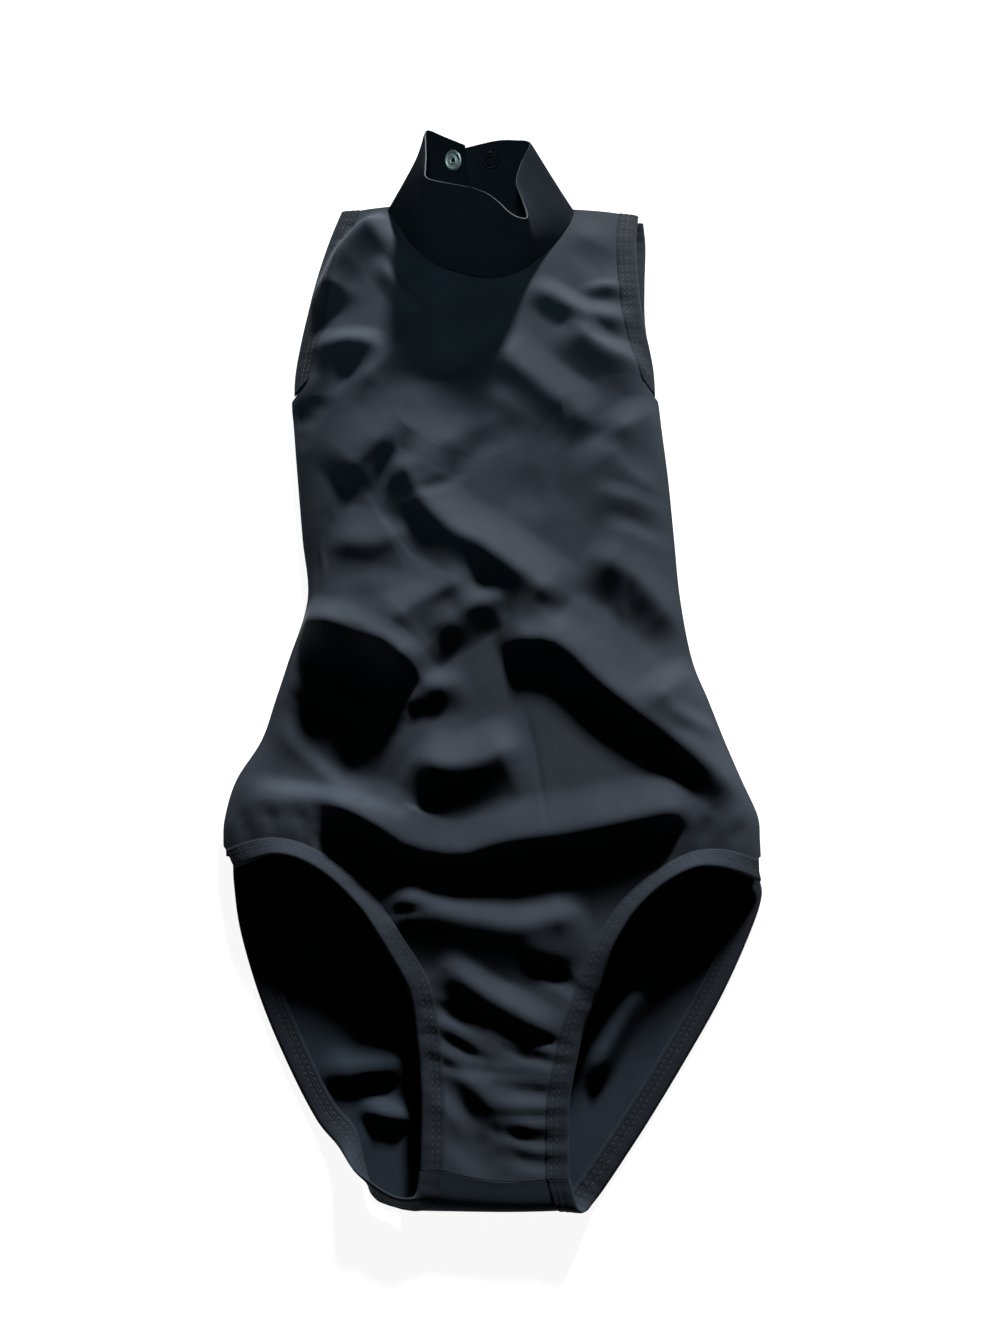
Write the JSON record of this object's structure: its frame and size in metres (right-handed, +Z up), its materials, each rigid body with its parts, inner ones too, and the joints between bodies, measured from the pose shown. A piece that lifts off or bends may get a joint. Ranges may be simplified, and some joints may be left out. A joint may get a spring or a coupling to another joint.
{
  "type": "mock neck leotard",
  "caption": "Sleeveless high-cut mock neck leotard in thin black satin stretch cloth, laid flat face up, with a standing collar open at the back and a snap.",
  "frame": {"origin": "on the table under the middle of the laid-out leotard's box", "axes": "+Y from the crotch fold towards the collar, +Z up off the table through the front, +X to the right of a person looking at the front"},
  "size_m": [0.266, 0.5686, 0.0437],
  "materials": {
    "front_cloth": "satin stretch knit, black",
    "back_cloth": "satin stretch knit, black",
    "collar_cloth": "satin stretch knit, doubled, black",
    "hem_cloth": "satin stretch knit, folded over elastic and stitched",
    "snap_metal": "polished",
    "snap_dark": "black, glossy"
  },
  "bodies": {
    "root": {"front_panel": "front_cloth", "back_panel": "back_cloth", "collar": "collar_cloth", "leg_hem_front_left": "hem_cloth", "leg_hem_front_right": "hem_cloth", "leg_hem_back_left": "hem_cloth", "leg_hem_back_right": "hem_cloth", "armhole_hem_front_left": "hem_cloth", "armhole_hem_front_right": "hem_cloth", "armhole_hem_back_left": "hem_cloth", "armhole_hem_back_right": "hem_cloth", "snap_ring_left": "snap_metal", "snap_stud_left": "snap_metal", "snap_socket_right": "snap_dark", "snap_cap_right": "snap_dark"}
  },
  "joints": []
}
